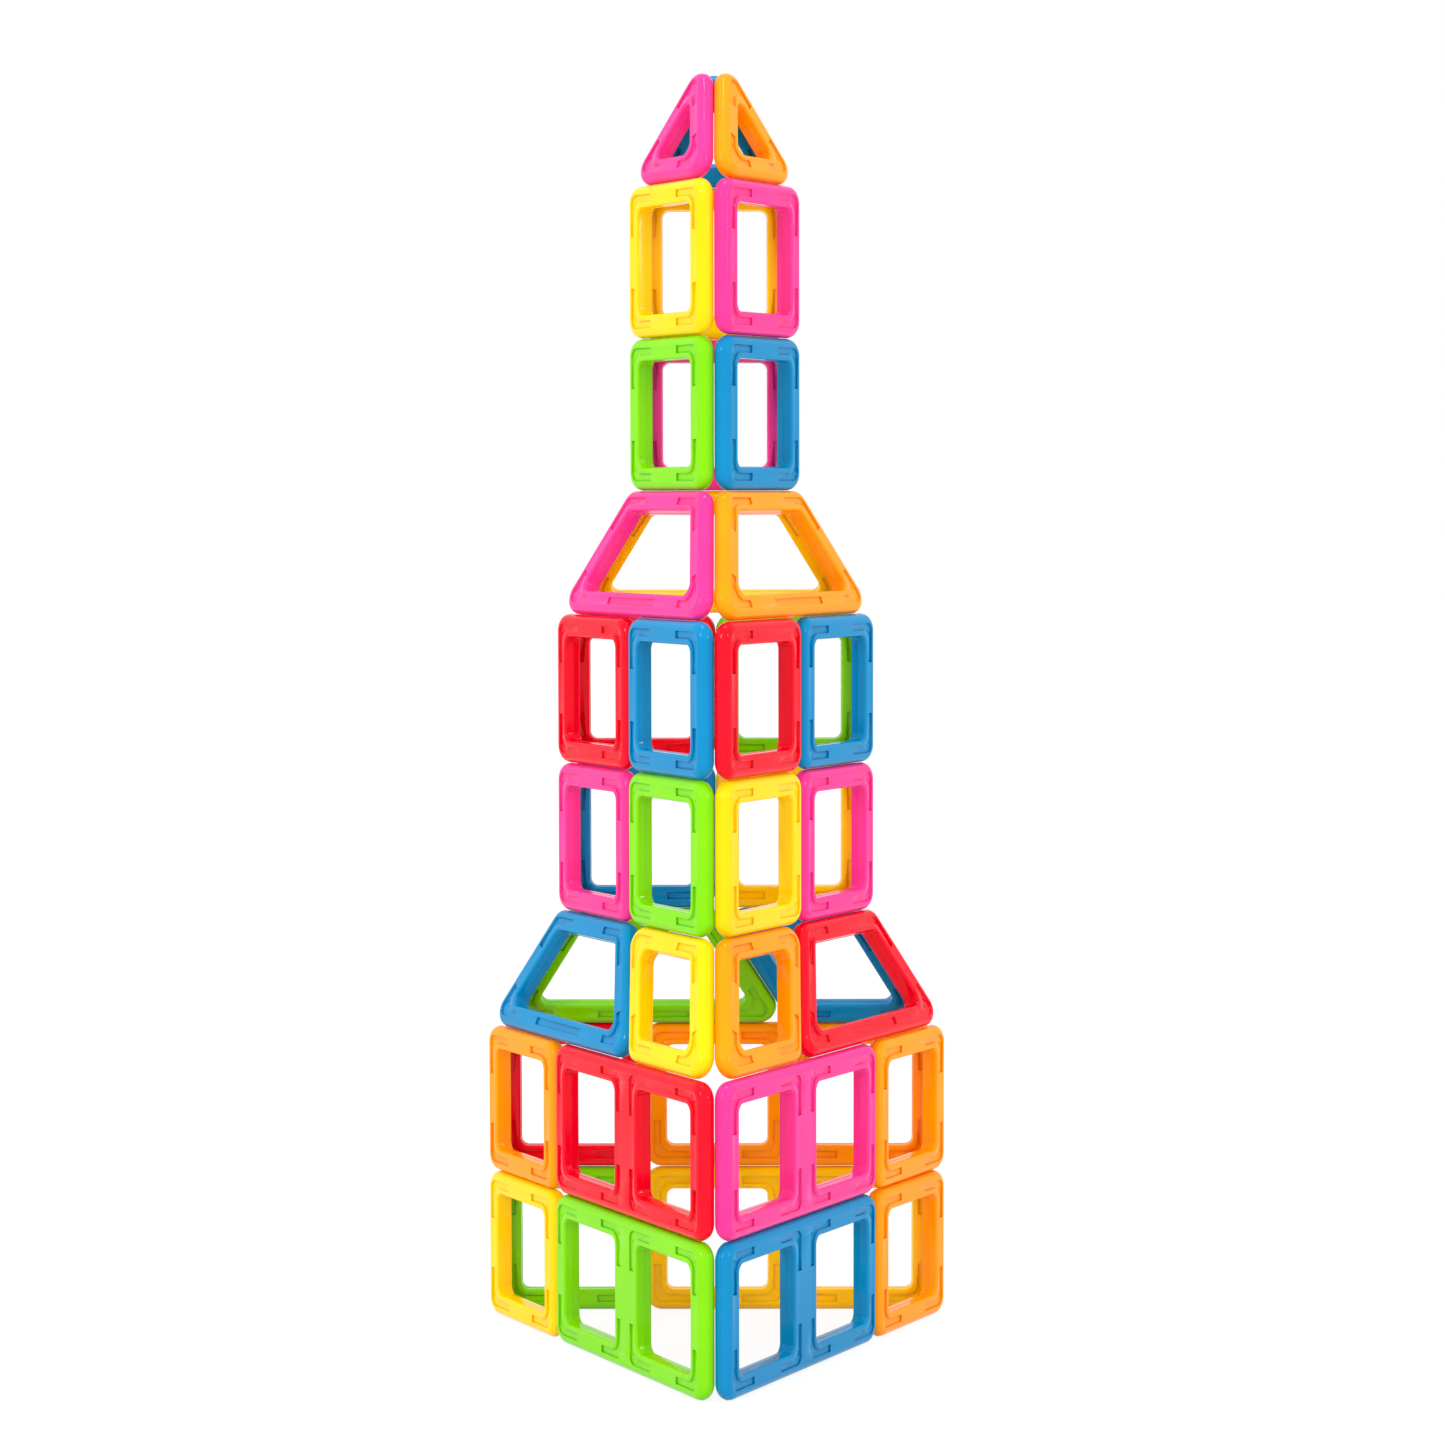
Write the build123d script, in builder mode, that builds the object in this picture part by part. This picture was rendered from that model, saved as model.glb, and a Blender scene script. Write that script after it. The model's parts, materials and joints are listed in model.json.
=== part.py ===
from build123d import *
import math
import os

os.makedirs("parts", exist_ok=True)

# A tower of magnetic construction frames: forty-two moulded frames in nine tiers.
# Every tier is a ring of three faces. Upright tiers are triangular prisms, and
# leaning tiers carry the ring in from three frames a side to two, from two to one,
# and from one to the point of the spire. +X is the tower's right, -Y its front corner.

# ---- driving dimensions, millimetres and degrees ----
side = 64.0  # one unit edge of every frame
thickness = 7.6  # frame thickness, both half-shells together
rim = 9.4  # solid border between the outer edge and the window
corner_radius = 7.5  # outer corners in plan
edge_land = 0.2  # flat left on each half-shell's rim at the parting line
window_radius = 3.7  # window corners
lip_radius = 1.1  # rounding of the window's rim
draft = 4.0  # slope of the window walls towards the parting plane
edge_gap = 0.4  # running gap between the rounded rims of neighbouring frames

bracket_shoulder = 0.3  # corner bracket: plain face between the rounded rim and the recess
window_shoulder = 1.2  # plain face between the recess and the window's lip
bracket_depth = 0.8
bracket_bend = 4.5  # rounding of a bracket's inner corner
bracket_reach = {60: 24.0, 90: 21.0, 120: 18.0}  # along the edge, by corner angle
slot_length = 40.0  # closed recess on a trapezium's long side

rod_diameter = 4.8  # magnet rod
rod_length = 18.0
rod_bevel = 0.35
rod_clearance = 0.1  # all round the rod
rod_end_play = 0.2

peg_setback = 2.2  # locating pegs between the half-shells, out from the window's lines
peg_diameter = 2.2
peg_height = 1.5
peg_clearance = 0.1

# ---- derived sizes ----
half = thickness / 2
edge_radius = half - edge_land  # rounding of the outer rim on each half-shell
bracket_inset = edge_radius + bracket_shoulder
bracket_width = rim - lip_radius - window_shoulder - bracket_inset
peg_inset = rim - peg_setback
rise = side * math.sqrt(3) / 2  # height of a leaning frame, along its own slope
lean = math.degrees(math.asin(1 / 3))  # a leaning face against the vertical
slant_gap = edge_gap / math.cos(math.radians(30))  # the gap measured along a row
reach_between = thickness + edge_gap  # between the rim axes of two neighbours


# ---- outlines, counter-clockwise from the lower left corner ----
def row_outline(bottom, top, shift, height):
    """Four corners: lower edge and upper edge in units of side, upper edge shifted."""
    return [
        Vector(0, 0),
        Vector(bottom * side, 0),
        Vector((shift + top) * side, height),
        Vector(shift * side, height),
    ]


square_cell = row_outline(1, 1, 0, side)
outlines = {
    "square": square_cell,
    "double": row_outline(2, 2, 0, side),
    "triangle": [Vector(0, 0), Vector(side, 0), Vector(side / 2, rise)],
    "trapezium": row_outline(2, 1, 0.5, rise),
    "rhombus": row_outline(1, 1, 0.5, rise),
    "rhombus_flipped": row_outline(1, 1, -0.5, rise),
}
cells = {kind: [outline] for kind, outline in outlines.items()}
cells["double"] = [square_cell, [point + Vector(side, 0) for point in square_cell]]
bottom_units = {"double": 2, "trapezium": 2}


def corner_frames(outline):
    """Each corner with its two edge directions and its angle in degrees."""
    count = len(outline)
    for index, corner in enumerate(outline):
        ahead = (outline[(index + 1) % count] - corner).normalized()
        back = (outline[index - 1] - corner).normalized()
        yield corner, ahead, back, ahead.get_angle(back)


def inset_point(corner, ahead, back, angle, inset):
    return corner + (ahead + back) * (inset / math.sin(math.radians(angle)))


def rod_places(outline):
    """A place for each magnet rod: midway on every unit of edge, on the rim's axis."""
    places = []
    for index, start in enumerate(outline):
        end = outline[(index + 1) % len(outline)]
        along = (end - start).normalized()
        inward = Vector(-along.Y, along.X)
        for unit in range(round((end - start).length / side)):
            middle = start + along * side * (unit + 0.5) + inward * half
            places.append(Location(Plane(origin=middle, z_dir=along)))
    return places


# ---- magnet rod ----
with BuildPart() as rod:
    Cylinder(rod_diameter / 2, rod_length)
    chamfer(rod.edges(), rod_bevel)

with BuildPart() as rod_pocket:
    Cylinder(rod_diameter / 2 + rod_clearance, rod_length + 2 * rod_end_play)


# ---- half-shells ----
def bracket_profile(corner, ahead, back, angle):
    """L-shaped recess that runs round one corner at a constant inset."""
    reach = bracket_reach[round(angle)]
    near, far = bracket_inset, bracket_inset + bracket_width
    sine, cosine = math.sin(math.radians(angle)), math.cos(math.radians(angle))
    ahead_in = (back - ahead * cosine) / sine
    back_in = (ahead - back * cosine) / sine
    outer = inset_point(corner, ahead, back, angle, near)
    inner = inset_point(corner, ahead, back, angle, far)
    with BuildSketch() as profile:
        with BuildLine():
            Polyline(
                outer,
                corner + ahead * reach + ahead_in * near,
                corner + ahead * reach + ahead_in * far,
                inner,
                corner + back * reach + back_in * far,
                corner + back * reach + back_in * near,
                close=True,
            )
        make_face()
        fillet(profile.vertices().sort_by_distance(outer)[0], corner_radius - near)
        fillet(profile.vertices().sort_by_distance(inner)[0], bracket_bend)
    return profile.sketch


def half_shell(kind):
    """Upper half of a frame, from the parting plane to its face."""
    outline = outlines[kind]
    with BuildPart() as shell:
        with BuildSketch():
            Polygon(*outline, align=None)
            fillet(vertices(), corner_radius)
        extrude(amount=half)
        fillet(shell.faces().sort_by(Axis.Z)[-1].edges(), edge_radius)

        for cell in cells[kind]:
            with BuildSketch(Plane.XY.offset(half)) as window:
                Polygon(*cell, align=None)
                offset(amount=-rim, kind=Kind.INTERSECTION, mode=Mode.REPLACE)
                fillet(window.vertices(), window_radius)
            extrude(amount=-half, taper=draft, mode=Mode.SUBTRACT)
        lips = shell.faces().sort_by(Axis.Z)[-1].inner_wires()
        fillet([edge for lip in lips for edge in lip.edges()], lip_radius)

        with BuildSketch(Plane.XY.offset(half)):
            for cell in cells[kind]:
                for corner in corner_frames(cell):
                    add(bracket_profile(*corner))
            if kind == "trapezium":
                with Locations((side, bracket_inset + bracket_width / 2)):
                    Rectangle(slot_length, bracket_width)
        extrude(amount=-bracket_depth, mode=Mode.SUBTRACT)

        with Locations(*rod_places(outline)):
            add(rod_pocket.part, mode=Mode.SUBTRACT)
    return shell.part


def keyed_shells(kind):
    """The two half-shells of a frame: pegs on the lower one stand in the upper one."""
    pegs = [inset_point(*corner, peg_inset) for corner in corner_frames(outlines[kind])]
    plain = half_shell(kind)
    with BuildPart() as upper:
        add(plain)
        with Locations(*pegs):
            Cylinder(
                peg_diameter / 2 + peg_clearance,
                2 * (peg_height + peg_clearance),
                mode=Mode.SUBTRACT,
            )
    with BuildPart() as lower:
        mirror(plain, about=Plane.XY)
        with Locations(*pegs):
            Cylinder(
                peg_diameter / 2,
                peg_height + peg_clearance,
                align=(Align.CENTER, Align.CENTER, Align.MIN),
            )
    return upper.part.solid(), lower.part.solid()


shells = {kind: keyed_shells(kind) for kind in outlines}
rods = {kind: rod_places(outline) for kind, outline in outlines.items()}

# ---- the tower, from the base up: (tier, leaning, rows) ----
# A row lists its frames from left to right as seen from outside. An edge after the
# kind is the one that this frame swings on.
tower = [
    (
        "tier1",
        False,
        {
            "left": [("yellow", "square"), ("green", "double")],
            "right": [("blue", "double"), ("orange", "square", "right_edge")],
            "back": [("yellow", "double"), ("green", "square")],
        },
    ),
    (
        "tier2",
        False,
        {
            "left": [("orange", "square", "left_edge"), ("red", "double")],
            "right": [("pink", "double"), ("orange", "square")],
            "back": [("orange", "double"), ("red", "square")],
        },
    ),
    (
        "tier3",
        True,
        {
            "left": [("blue", "trapezium", "top_edge"), ("yellow", "rhombus_flipped")],
            "right": [("orange", "rhombus"), ("red", "trapezium")],
            "back": [("blue", "rhombus"), ("green", "trapezium")],
        },
    ),
    (
        "tier4",
        False,
        {
            "left": [("pink", "square"), ("green", "square")],
            "right": [("yellow", "square"), ("pink", "square", "right_edge")],
            "back": [("yellow", "square"), ("blue", "square")],
        },
    ),
    (
        "tier5",
        False,
        {
            "left": [("red", "square", "left_edge"), ("blue", "square")],
            "right": [("red", "square"), ("blue", "square")],
            "back": [("green", "square"), ("red", "square")],
        },
    ),
    (
        "tier6",
        True,
        {
            "left": [("pink", "trapezium")],
            "right": [("orange", "trapezium", "top_edge")],
            "back": [("yellow", "trapezium")],
        },
    ),
    (
        "tier7",
        False,
        {
            "left": [("green", "square")],
            "right": [("blue", "square", "right_edge")],
            "back": [("pink", "square")],
        },
    ),
    (
        "tier8",
        False,
        {
            "left": [("yellow", "square")],
            "right": [("pink", "square")],
            "back": [("yellow", "square")],
        },
    ),
    (
        "spire",
        True,
        {
            "left": [("pink", "triangle", "bottom_edge")],
            "right": [("orange", "triangle", "bottom_edge")],
            "back": [("blue", "triangle", "bottom_edge")],
        },
    ),
]
face_direction = {"left": 210, "right": 330, "back": 90}  # where each face looks


def hinge_rod(kind, edge):
    """Which of a frame's rods lies on the edge it swings on."""
    last = len(rods[kind]) - 1
    return {"bottom_edge": 0, "right_edge": 1, "top_edge": last - 1, "left_edge": last}[edge]


def row_width(row, gap):
    units = sum(bottom_units.get(entry[1], 1) for entry in row)
    return units * side + (len(row) - 1) * gap


def axis_distance(width, tilt):
    """From the tower's axis to a face's mid-plane at its lower edge.

    The rims of two faces that meet at a corner lie half a gap each side of the
    upright plane between them.
    """
    if tilt:
        inset = half * (1 - 1 / math.sqrt(3))
    else:
        inset = half * (1 - math.cos(math.radians(60)))
    return (width / 4 + inset + edge_gap / 2) / math.cos(math.radians(30))


# ---- heights of the tiers and the tower's axis ----
base_width = row_width(tower[0][2]["left"], edge_gap)
base_distance = axis_distance(base_width, 0)
corner_reach = (
    base_distance * math.cos(math.radians(60))
    + (base_width / 2 - half) * math.sin(math.radians(60))
    + edge_radius
    + edge_land * (math.sin(math.radians(60)) + math.cos(math.radians(60)))
)
tower_axis_y = (corner_reach - base_distance - half) / 2

# ---- frames and their magnet rods, tier by tier ----
# The rod on a swinging frame's hinge edge is its pin, and stays with its tier. The
# spire has no frame that stays put, so its pins stay with the tier below it.
below = None  # distance and height of the rim axis on top of the tier below
hinges = {}
fixed_rods = {}
for tier, leaning, rows in tower:
    tilt = lean if leaning else 0
    height = rise if leaning else side
    gap = slant_gap if leaning else edge_gap
    sine, cosine = math.sin(math.radians(tilt)), math.cos(math.radians(tilt))
    distance = axis_distance(row_width(rows["left"], gap), tilt)
    foot_distance = distance - half * sine
    if below is None:
        foot_height = 0.0
    else:
        step = foot_distance - below[0]
        foot_height = below[1] + math.sqrt(reach_between**2 - step**2) - half * cosine
    top = height - half
    below = (distance - top * sine, foot_height + top * cosine)

    if any(len(entry) == 2 for row in rows.values() for entry in row):
        carrier = tier
    staying = fixed_rods.setdefault(carrier, [])
    for face, row in rows.items():
        turn = math.radians(face_direction[face])
        outward = Vector(math.cos(turn) * cosine, math.sin(turn) * cosine, sine)
        across = Vector(-math.sin(turn), math.cos(turn), 0)
        foot = Vector(
            distance * math.cos(turn),
            distance * math.sin(turn) + tower_axis_y,
            foot_height,
        )
        start = -row_width(row, gap) / 2
        for colour, kind, *edge in row:
            place = Plane(origin=foot + across * start, x_dir=across, z_dir=outward)
            start += bottom_units.get(kind, 1) * side + gap
            name = f"{tier}_{face}_{colour}_{kind.split('_')[0]}"

            copies = []
            for shell in shells[kind]:
                with BuildPart() as placed_shell:
                    with Locations(place):
                        add(shell)
                copies.append(placed_shell.part.solid())
            frame = Compound(label=name, children=copies)
            export_step(frame, f"parts/{name}.step")

            rod_spots = [place.location * spot for spot in rods[kind]]
            if not edge:
                staying += rod_spots
                continue
            hinge_spot = rod_spots.pop(hinge_rod(kind, edge[0]))
            hinges[name] = (hinge_spot.position, Plane(hinge_spot).z_dir)
            staying.append(hinge_spot)
            with BuildPart() as moving_rods:
                with Locations(*rod_spots):
                    add(rod.part)
            moving_rods.part.label = f"{name}_magnets"
            export_step(moving_rods.part, f"parts/{name}_magnets.step")

    print(f"{tier}: foot {foot_height:.2f} mm, rim axis on top {below[1]:.2f} mm")

for carrier, spots in fixed_rods.items():
    with BuildPart() as tier_rods:
        with Locations(*spots):
            add(rod.part)
    tier_rods.part.label = f"{carrier}_magnets"
    export_step(tier_rods.part, f"parts/{carrier}_magnets.step")

for name, (point, axis) in hinges.items():
    place = ", ".join(f"{value:.3f}" for value in point)
    direction = ", ".join(f"{value:.4f}" for value in axis)
    print(f"{name} swings about ({place}) along ({direction})")
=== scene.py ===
# %% [markdown]
# # A tower of magnetic window frames
#
# The object is a table-top tower built from forty-two moulded plastic frames: squares,
# double frames, trapezia, rhombi and triangles. Each frame is two half-shells welded
# face to face round a few magnet rods. The construction model already holds every
# frame at its real size, so this lesson gives it its skin, its seams, its coloured
# plastic, a studio and a camera.

# %% Load the construction model
import math

import bmesh
import bpy
from mathutils import Euler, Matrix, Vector
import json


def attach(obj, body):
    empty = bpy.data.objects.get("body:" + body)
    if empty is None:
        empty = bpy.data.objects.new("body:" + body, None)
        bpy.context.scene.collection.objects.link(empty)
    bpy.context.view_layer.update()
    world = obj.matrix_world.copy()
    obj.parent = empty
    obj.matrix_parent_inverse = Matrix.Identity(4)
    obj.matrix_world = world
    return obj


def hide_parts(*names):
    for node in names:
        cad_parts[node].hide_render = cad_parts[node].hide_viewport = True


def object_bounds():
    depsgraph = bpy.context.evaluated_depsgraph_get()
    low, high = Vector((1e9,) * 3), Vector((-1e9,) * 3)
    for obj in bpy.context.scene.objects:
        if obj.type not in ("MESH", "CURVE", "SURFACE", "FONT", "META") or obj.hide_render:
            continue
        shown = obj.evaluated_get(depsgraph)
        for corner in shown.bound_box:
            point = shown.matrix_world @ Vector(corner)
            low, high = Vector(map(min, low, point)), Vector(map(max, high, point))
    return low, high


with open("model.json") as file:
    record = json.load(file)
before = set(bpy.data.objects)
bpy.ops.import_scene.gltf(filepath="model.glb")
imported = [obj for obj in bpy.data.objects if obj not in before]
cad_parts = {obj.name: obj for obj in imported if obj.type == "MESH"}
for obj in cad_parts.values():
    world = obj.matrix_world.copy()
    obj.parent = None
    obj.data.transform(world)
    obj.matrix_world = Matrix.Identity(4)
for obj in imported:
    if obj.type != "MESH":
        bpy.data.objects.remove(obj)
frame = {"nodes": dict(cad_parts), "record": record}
cad_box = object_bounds()
record = frame["record"]
slot_of = {row["node"]: row["material_slot"] for row in record["subparts"]}
body_of = {node: body for body, nodes in record["behaviour"]["bodies"].items() for node in nodes}
frames = sorted(node for node, slot in slot_of.items() if slot != "magnet")
rods = sorted(node for node, slot in slot_of.items() if slot == "magnet")
print(f"{len(frames)} frames and {len(rods)} groups of magnet rods, box {cad_box}")

# %% [markdown]
# ## The camera
#
# The tower is seen from a little above its middle, with a corner towards us, through a
# moderately long lens. A long lens keeps the tiers nearly parallel, and the slight
# downward tilt makes the uprights close in towards the foot. The camera is placed first
# so that every later choice can be judged from the same place.

# %% Camera
camera_place = Vector((0.0092, -1.5215, 0.3617))
camera_pan = math.radians(0.22)  # anticlockwise seen from above
camera_tilt = math.radians(-3.58)
camera_roll = math.radians(0.11)
sensor_width = 36.0
camera_lens = 90.96

camera_data = bpy.data.cameras.new("studio_camera")
camera_data.sensor_width = sensor_width
camera_data.lens = camera_lens
camera = bpy.data.objects.new("studio_camera", camera_data)
camera.location = camera_place
camera.rotation_euler = Euler((math.pi / 2 + camera_tilt, camera_roll, camera_pan), "XYZ")
bpy.context.scene.collection.objects.link(camera)
bpy.context.scene.camera = camera

# %% [markdown]
# ## A group for the plastic
#
# All six colours are the same glossy moulded plastic, so what they share is one shader
# node group: broad flow clouds where the melt filled the mould, a fine orange-peel skin,
# faint rub marks from handling that dull the gloss, and painted shade: colour darkened in
# the creases by an ambient-occlusion node, which draws the corner recesses. It reads Object
# coordinates, which stay with a piece when it moves. The shader itself stays in each material.

# %% Small helpers for node trees
def add_node(tree, kind, **settings):
    node = tree.nodes.new(kind)
    for key, value in settings.items():
        if key in node.inputs:
            node.inputs[key].default_value = value
        else:
            setattr(node, key, value)
    return node


def new_group(name, inputs, outputs):
    tree = bpy.data.node_groups.new(name, "ShaderNodeTree")
    for label, socket, value in inputs:
        made = tree.interface.new_socket(label, in_out="INPUT", socket_type=socket)
        made.default_value = value
    for label, socket in outputs:
        tree.interface.new_socket(label, in_out="OUTPUT", socket_type=socket)
    return tree, tree.nodes.new("NodeGroupInput"), tree.nodes.new("NodeGroupOutput")


def noise(tree, coordinates, scale, detail=2.0, roughness=0.5):
    node = add_node(tree, "ShaderNodeTexNoise", Scale=scale, Detail=detail, Roughness=roughness)
    tree.links.new(coordinates, node.inputs["Vector"])
    return node.outputs["Fac"]


def remap(tree, value, low, high, to_low, to_high):
    node = tree.nodes.new("ShaderNodeMapRange")
    node.inputs["From Min"].default_value = low
    node.inputs["From Max"].default_value = high
    tree.links.new(value, node.inputs["Value"])
    for source, socket in ((to_low, "To Min"), (to_high, "To Max")):
        if isinstance(source, (int, float)):
            node.inputs[socket].default_value = source
        else:
            tree.links.new(source, node.inputs[socket])
    return node.outputs["Result"]


# %% The moulded plastic group
# painted shade in creases: its reach and its ambient-occlusion samples
painted_shade_reach = 0.0012  # metres over which a step or a groove holds shade
painted_shade_samples = 8
flow_scale = 38.0  # noise scales, in features a metre
rub_scales = (260.0, 900.0, 90.0)
rub_turn = (0.4, 0.9, 0.3)
patch_scale = 55.0
peel_scale = 900.0
ripple_scale = 120.0
peel_share = 0.25


def moulded_plastic_group():
    tree, given, out = new_group(
        "moulded_plastic",
        [
            ("Colour", "NodeSocketColor", (1, 1, 1, 1)),
            ("Flow Colour", "NodeSocketColor", (1, 1, 1, 1)),
            ("Flow Amount", "NodeSocketFloat", 0.5),
            ("Gloss Roughness", "NodeSocketFloat", 0.2),
            ("Rub Roughness", "NodeSocketFloat", 0.35),
            # strength of the painted shade in creases and recesses
            ("Painted Crease Shade", "NodeSocketFloat", 0.5),
        ],
        [
            ("Colour", "NodeSocketColor"),
            ("Roughness", "NodeSocketFloat"),
            ("Height", "NodeSocketFloat"),
        ],
    )
    link = tree.links.new
    place = tree.nodes.new("ShaderNodeTexCoord").outputs["Object"]

    flow = noise(tree, place, flow_scale, 3.0, 0.45)
    clouds = remap(tree, flow, 0.35, 0.7, 0.0, given.outputs["Flow Amount"])
    tint = add_node(tree, "ShaderNodeMix", data_type="RGBA")
    link(clouds, tint.inputs["Factor"])
    link(given.outputs["Colour"], tint.inputs[6])
    link(given.outputs["Flow Colour"], tint.inputs[7])

    # Painted shade: an ambient-occlusion node darkens the colour in creases and recesses by
    # mixing towards the colour multiplied by itself, which deepens it without greying it.
    crease_occlusion = add_node(
        tree,
        "ShaderNodeAmbientOcclusion",
        samples=painted_shade_samples,
        only_local=True,
        Distance=painted_shade_reach,
    )
    painted_shade_amount = remap(tree, crease_occlusion.outputs["AO"], 0.35, 0.95, given.outputs["Painted Crease Shade"], 0.0)
    painted_shade_mix = add_node(tree, "ShaderNodeMix", data_type="RGBA", blend_type="MULTIPLY")
    link(painted_shade_amount, painted_shade_mix.inputs["Factor"])
    link(tint.outputs[2], painted_shade_mix.inputs[6])
    link(tint.outputs[2], painted_shade_mix.inputs[7])
    link(painted_shade_mix.outputs[2], out.inputs["Colour"])

    stretch = add_node(tree, "ShaderNodeMapping", Scale=rub_scales, Rotation=rub_turn)
    link(place, stretch.inputs["Vector"])
    streaks = noise(tree, stretch.outputs["Vector"], 1.0, 4.0, 0.65)
    rubs = remap(tree, streaks, 0.55, 0.8, 0.0, 1.0)
    patches = remap(tree, noise(tree, place, patch_scale, 2.0), 0.4, 0.7, 0.0, 1.0)
    both = add_node(tree, "ShaderNodeMath", operation="MULTIPLY")
    link(rubs, both.inputs[0])
    link(patches, both.inputs[1])
    clean, rubbed = given.outputs["Gloss Roughness"], given.outputs["Rub Roughness"]
    dull = remap(tree, both.outputs[0], 0.0, 1.0, clean, rubbed)
    link(dull, out.inputs["Roughness"])

    peel = noise(tree, place, peel_scale, 1.0)
    ripple = noise(tree, place, ripple_scale, 1.0)
    skin = add_node(tree, "ShaderNodeMath", operation="MULTIPLY_ADD")
    skin.inputs[1].default_value = peel_share
    link(peel, skin.inputs[0])
    link(ripple, skin.inputs[2])
    link(skin.outputs[0], out.inputs["Height"])
    return tree


plastic_group = moulded_plastic_group()

# %% [markdown]
# ## Six colours and the nickel of the rods
#
# Saturated toy plastic is a strong pigment under a clear gloss. Each colour gets a second,
# slightly deeper tone for the flow clouds, so no face is one flat colour. The magnet rods
# are nickel-plated steel, sealed in the rims.

# %% Materials
skin_depth = 0.00006  # metres of relief in the orange peel
gloss = {
    "roughness": 0.11,
    "rub": 0.24,
    "flow": 0.5,
    "ior": 1.46,
    "mirror": 0.2,
    # strength of the painted shade in creases and recesses
    "painted_crease_shade": 0.9,
}
plastics = {
    "yellow": ((1.0, 0.62, 0.0), (1.0, 0.54, 0.0)),
    "orange": ((1.0, 0.31, 0.0), (1.0, 0.26, 0.0)),
    "pink": ((0.9, 0.035, 0.27), (0.86, 0.028, 0.24)),
    "red": ((0.82, 0.0, 0.015), (0.76, 0.0, 0.012)),
    "green": ((0.21, 0.66, 0.0), (0.18, 0.6, 0.0)),
    "blue": ((0.0, 0.23, 0.49), (0.0, 0.2, 0.44)),
}


def plastic(name, colour, deeper):
    material = bpy.data.materials.new(f"{name}_plastic")
    material.use_nodes = True
    tree = material.node_tree
    shader = tree.nodes["Principled BSDF"]
    shader.inputs["IOR"].default_value = gloss["ior"]
    shader.inputs["Specular IOR Level"].default_value = gloss["mirror"]
    group = add_node(tree, "ShaderNodeGroup", node_tree=plastic_group)
    group.inputs["Colour"].default_value = (*colour, 1)
    group.inputs["Flow Colour"].default_value = (*deeper, 1)
    group.inputs["Flow Amount"].default_value = gloss["flow"]
    group.inputs["Gloss Roughness"].default_value = gloss["roughness"]
    group.inputs["Rub Roughness"].default_value = gloss["rub"]
    # painted shade in creases and recesses
    group.inputs["Painted Crease Shade"].default_value = gloss["painted_crease_shade"]
    tree.links.new(group.outputs["Colour"], shader.inputs["Base Color"])
    tree.links.new(group.outputs["Roughness"], shader.inputs["Roughness"])
    relief = add_node(tree, "ShaderNodeBump", Distance=skin_depth, Strength=1.0)
    tree.links.new(group.outputs["Height"], relief.inputs["Height"])
    tree.links.new(relief.outputs["Normal"], shader.inputs["Normal"])
    return material


materials = {name: plastic(name, *tones) for name, tones in plastics.items()}


def nickel():
    material = bpy.data.materials.new("nickel_plate")
    material.use_nodes = True
    tree = material.node_tree
    shader = tree.nodes["Principled BSDF"]
    shader.inputs["Metallic"].default_value = 1.0
    place = tree.nodes.new("ShaderNodeTexCoord").outputs["Object"]
    wear = noise(tree, place, 700.0, 3.0)
    tree.links.new(remap(tree, wear, 0.3, 0.7, 0.16, 0.32), shader.inputs["Roughness"])
    tone = tree.nodes.new("ShaderNodeValToRGB")
    tone.color_ramp.elements[0].color = (0.56, 0.54, 0.50, 1)
    tone.color_ramp.elements[1].color = (0.74, 0.72, 0.68, 1)
    tree.links.new(wear, tone.inputs["Fac"])
    tree.links.new(tone.outputs["Color"], shader.inputs["Base Color"])
    return material


materials["magnet"] = nickel()
for node in rods:
    frame["nodes"][node].data.materials.clear()
    frame["nodes"][node].data.materials.append(materials["magnet"])
print(f"{len(materials)} materials")

# %% [markdown]
# ## The skin of a frame
#
# The construction model has two half-shells a frame, with the faces where they meet and
# the pockets inside. On the finished toy those faces are welded shut. So each frame's
# mesh is copied, the welded faces and everything sealed inside are taken away, and the
# two outer skins are joined at the weld: one closed surface that shades smoothly round
# its rim, with real recesses at its corners. Weighted normals keep the flat faces
# looking flat right up to the rounded rim.

# %% Where each face of the tower looks
look_degrees = {"left": 210.0, "right": 330.0, "back": 90.0}
leaning_tiers = ("tier3", "tier6", "spire")
lean_sine = 1 / 3  # a leaning face tips in as the faces of a regular tetrahedron do
on_plane = 2e-5  # metres from the weld plane that still count as on it
weld_distance = 5e-6
smooth_angle = math.radians(28)
level_weight = 100  # how far the largest face at a corner sets its shading


def outward(node):
    tier, face = node.split("_")[:2]
    rise = lean_sine if tier in leaning_tiers else 0.0
    flat = math.sqrt(1 - rise * rise)
    turn = math.radians(look_degrees[face])
    return Vector((math.cos(turn) * flat, math.sin(turn) * flat, rise))


def islands(mesh):
    """Groups of faces that share edges."""
    unseen = set(mesh.faces)
    while unseen:
        group, edge_of_group = set(), [unseen.pop()]
        while edge_of_group:
            face = edge_of_group.pop()
            group.add(face)
            for edge in face.edges:
                for other in edge.link_faces:
                    if other in unseen:
                        unseen.remove(other)
                        edge_of_group.append(other)
        yield group


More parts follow.
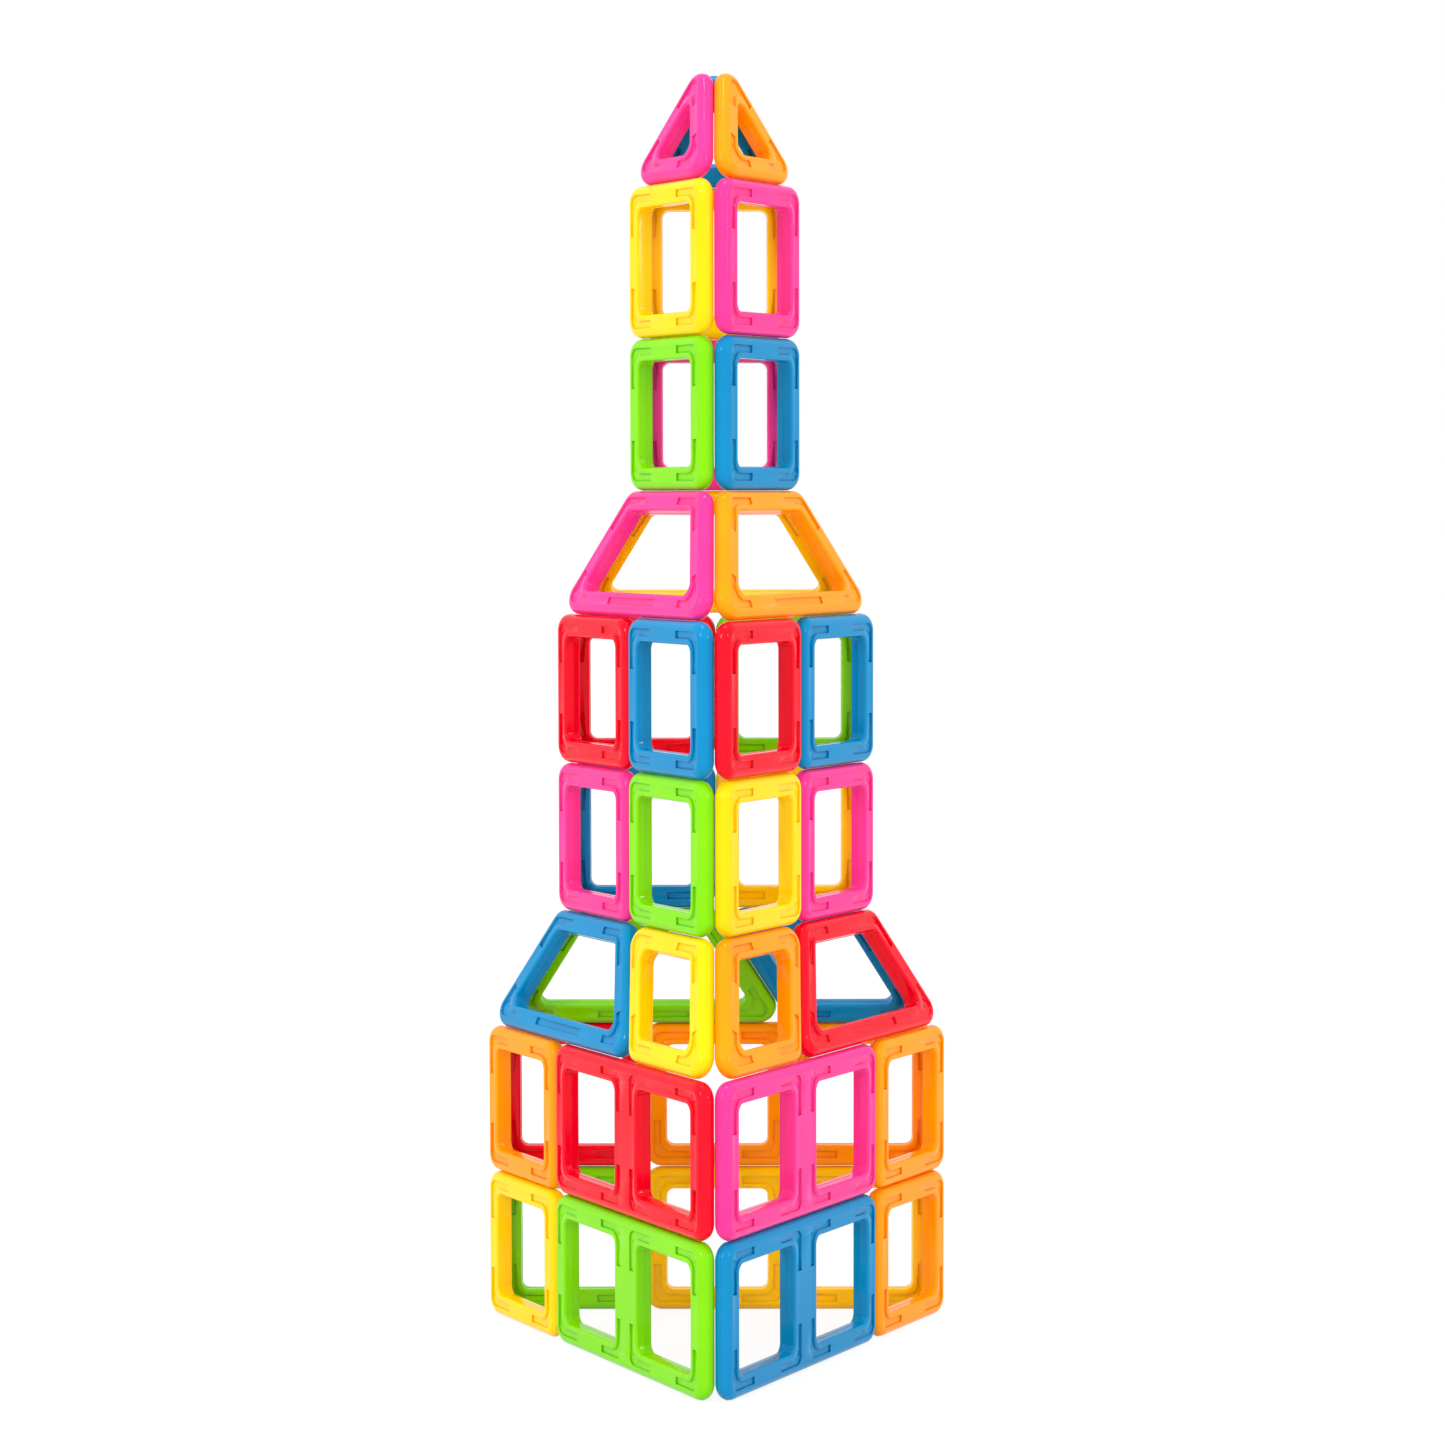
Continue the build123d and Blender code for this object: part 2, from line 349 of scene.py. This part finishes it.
def outer_skin(node):
    """The welded outer surface of one frame, and the weld line's edges on it."""
    normal = outward(node)
    mesh = bmesh.new()
    mesh.from_mesh(frame["nodes"][node].data)
    bmesh.ops.remove_doubles(mesh, verts=mesh.verts, dist=weld_distance)
    heights = [vertex.co.dot(normal) for vertex in mesh.verts]
    middle = (min(heights) + max(heights)) / 2
    welded = [
        face
        for face in mesh.faces
        if all(abs(v.co.dot(normal) - middle) < on_plane for v in face.verts)
    ]
    bmesh.ops.delete(mesh, geom=welded, context="FACES")
    bmesh.ops.remove_doubles(mesh, verts=mesh.verts, dist=weld_distance)
    groups = sorted(islands(mesh), key=lambda group: sum(face.calc_area() for face in group))
    bmesh.ops.delete(mesh, geom=[face for group in groups[:-1] for face in group], context="FACES")
    seam = [
        tuple(v.co.copy() for v in edge.verts)
        for edge in mesh.edges
        if all(abs(v.co.dot(normal) - middle) < on_plane for v in edge.verts)
    ]
    open_edges = sum(1 for edge in mesh.edges if len(edge.link_faces) != 2)
    return mesh, seam, open_edges


# %% Skin every frame
def new_piece(name, mesh, material):
    piece = bpy.data.objects.new(name, mesh)
    bpy.context.scene.collection.objects.link(piece)
    mesh.materials.append(material)
    return piece


seams = {}
open_edges_left = 0
for node in frames:
    skin, seam, open_edges = outer_skin(node)
    open_edges_left += open_edges
    data = bpy.data.meshes.new(f"{node}_skin")
    skin.to_mesh(data)
    skin.free()
    piece = new_piece(f"{node}_skin", data, materials[slot_of[node]])
    data.shade_smooth()
    data.set_sharp_from_angle(angle=smooth_angle)
    level = piece.modifiers.new("level_faces", "WEIGHTED_NORMAL")
    level.keep_sharp = True
    level.weight = level_weight
    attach(piece, body_of[node])
    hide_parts(node)
    seams.setdefault((body_of[node], slot_of[node]), []).extend(seam)
print(f"{len(frames)} skins, {open_edges_left} open edges")

# %% [markdown]
# ## The weld bead
#
# Where the two half-shells were welded, a hair of plastic stands proud all round the
# rim and round every window. It follows a path, so Geometry Nodes makes it: the weld
# line's edges become curves, a small round profile runs along them, and its radius is
# a named input. One tree serves every frame.

# %% The weld bead's tree
bead_radius = 0.00013
bead_sides = 6


def weld_bead_tree():
    tree = bpy.data.node_groups.new("weld_bead", "GeometryNodeTree")
    tree.interface.new_socket("Weld Line", in_out="INPUT", socket_type="NodeSocketGeometry")
    radius = tree.interface.new_socket("Bead Radius", in_out="INPUT", socket_type="NodeSocketFloat")
    finish = tree.interface.new_socket("Plastic", in_out="INPUT", socket_type="NodeSocketMaterial")
    tree.interface.new_socket("Bead", in_out="OUTPUT", socket_type="NodeSocketGeometry")
    given, out = tree.nodes.new("NodeGroupInput"), tree.nodes.new("NodeGroupOutput")
    path = tree.nodes.new("GeometryNodeMeshToCurve")
    profile = add_node(tree, "GeometryNodeCurvePrimitiveCircle", Resolution=bead_sides)
    sweep = tree.nodes.new("GeometryNodeCurveToMesh")
    realise = tree.nodes.new("GeometryNodeRealizeInstances")
    paint = tree.nodes.new("GeometryNodeSetMaterial")
    link = tree.links.new
    link(given.outputs["Weld Line"], path.inputs["Mesh"])
    link(given.outputs["Bead Radius"], profile.inputs["Radius"])
    link(path.outputs["Curve"], sweep.inputs["Curve"])
    link(profile.outputs["Curve"], sweep.inputs["Profile Curve"])
    link(sweep.outputs["Mesh"], realise.inputs["Geometry"])
    link(realise.outputs["Geometry"], paint.inputs["Geometry"])
    link(given.outputs["Plastic"], paint.inputs["Material"])
    link(paint.outputs["Geometry"], out.inputs["Bead"])
    return tree, radius.identifier, finish.identifier


bead_tree, radius_socket, finish_socket = weld_bead_tree()

# %% Run a bead along every weld line
def weld_line_mesh(edges):
    mesh = bmesh.new()
    for start, end in edges:
        mesh.edges.new((mesh.verts.new(start), mesh.verts.new(end)))
    bmesh.ops.remove_doubles(mesh, verts=mesh.verts, dist=weld_distance)
    data = bpy.data.meshes.new("weld_line")
    mesh.to_mesh(data)
    mesh.free()
    return data


def bead_mesh(edges, slot):
    guide = bpy.data.objects.new("weld_line", weld_line_mesh(edges))
    bpy.context.scene.collection.objects.link(guide)
    modifier = guide.modifiers.new("bead", "NODES")
    modifier.node_group = bead_tree
    modifier[radius_socket] = bead_radius
    modifier[finish_socket] = materials[slot]
    evaluated = guide.evaluated_get(bpy.context.evaluated_depsgraph_get())
    data = bpy.data.meshes.new_from_object(evaluated)
    bpy.data.objects.remove(guide)
    data.shade_smooth()
    return data


bead_count = 0
for (body, slot), edges in sorted(seams.items()):
    data = bead_mesh(edges, slot)
    piece = bpy.data.objects.new(f"{body}_{slot}_weld_bead", data)
    bpy.context.scene.collection.objects.link(piece)
    if not data.materials:
        data.materials.append(materials[slot])
    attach(piece, body)
    bead_count += 1
print(f"{bead_count} weld beads")

# %% [markdown]
# ## The studio
#
# Glossy toys are lit with large soft lamps, so that the round rims catch long clean
# highlights. A key lamp stands high on the left, a weaker one on the right, and a pale
# world fills the shade. The floor and the world show plain white to the camera and in
# every reflection, and the floor still takes the tower's soft shadow.

# %% World
scene = bpy.context.scene
scene.view_settings.view_transform = "Standard"
fill_strength = 1.25
world = bpy.data.worlds.new("studio_world")
scene.world = world
world.use_nodes = True
tree = world.node_tree
background = tree.nodes["Background"]
path = tree.nodes.new("ShaderNodeLightPath")


def seen_directly(tree, path):
    """1 for camera, mirrored and see-through rays, 0 for the rays that light things."""
    seen = path.outputs["Is Camera Ray"]
    for other in ("Is Glossy Ray", "Is Transmission Ray"):
        either = add_node(tree, "ShaderNodeMath", operation="MAXIMUM")
        tree.links.new(seen, either.inputs[0])
        tree.links.new(path.outputs[other], either.inputs[1])
        seen = either.outputs[0]
    return seen


background.inputs["Color"].default_value = (1, 1, 1, 1)
strength = remap(tree, seen_directly(tree, path), 0.0, 1.0, fill_strength, 1.0)
tree.links.new(strength, background.inputs["Strength"])

# %% Floor
floor_half_width = 6.0
shadow_share = 0.14  # how much of the floor's own shading the camera sees
floor_glow = 1.04
floor_mesh = bmesh.new()
bmesh.ops.create_grid(floor_mesh, x_segments=1, y_segments=1, size=floor_half_width)
floor_data = bpy.data.meshes.new("floor")
floor_mesh.to_mesh(floor_data)
floor_mesh.free()
floor_paint = bpy.data.materials.new("floor_white")
floor_paint.use_nodes = True
tree = floor_paint.node_tree
matt = tree.nodes["Principled BSDF"]
matt.inputs["Base Color"].default_value = (0.82, 0.82, 0.82, 1)
matt.inputs["Roughness"].default_value = 0.6
white = add_node(tree, "ShaderNodeEmission", Strength=floor_glow)
path = tree.nodes.new("ShaderNodeLightPath")
share = remap(tree, seen_directly(tree, path), 0.0, 1.0, 0.0, 1.0 - shadow_share)
blend = tree.nodes.new("ShaderNodeMixShader")
tree.links.new(share, blend.inputs["Fac"])
tree.links.new(matt.outputs["BSDF"], blend.inputs[1])
tree.links.new(white.outputs["Emission"], blend.inputs[2])
tree.links.new(blend.outputs["Shader"], tree.nodes["Material Output"].inputs["Surface"])
floor = new_piece("floor", floor_data, floor_paint)


# %% Lamps
def soft_lamp(name, place, width, height, watts):
    data = bpy.data.lights.new(name, "AREA")
    data.shape = "RECTANGLE"
    data.size, data.size_y = width, height
    data.energy = watts
    lamp = bpy.data.objects.new(name, data)
    lamp.location = place
    aim = Vector((0, 0, cad_box[1][2] / 2)) - Vector(place)
    lamp.rotation_euler = aim.to_track_quat("-Z", "Y").to_euler()
    scene.collection.objects.link(lamp)


soft_lamp("key_lamp", (-1.1, -1.2, 1.15), 0.09, 0.6, 9)
soft_lamp("fill_lamp", (1.25, -1.0, 0.85), 0.08, 0.6, 4)
soft_lamp("top_lamp", (0.0, -0.1, 1.7), 0.3, 0.3, 4)

# %% [markdown]
# ## Finish
#
# The finished model should differ in size from the construction model by no more than
# the weld bead.

# %% Finish
import json
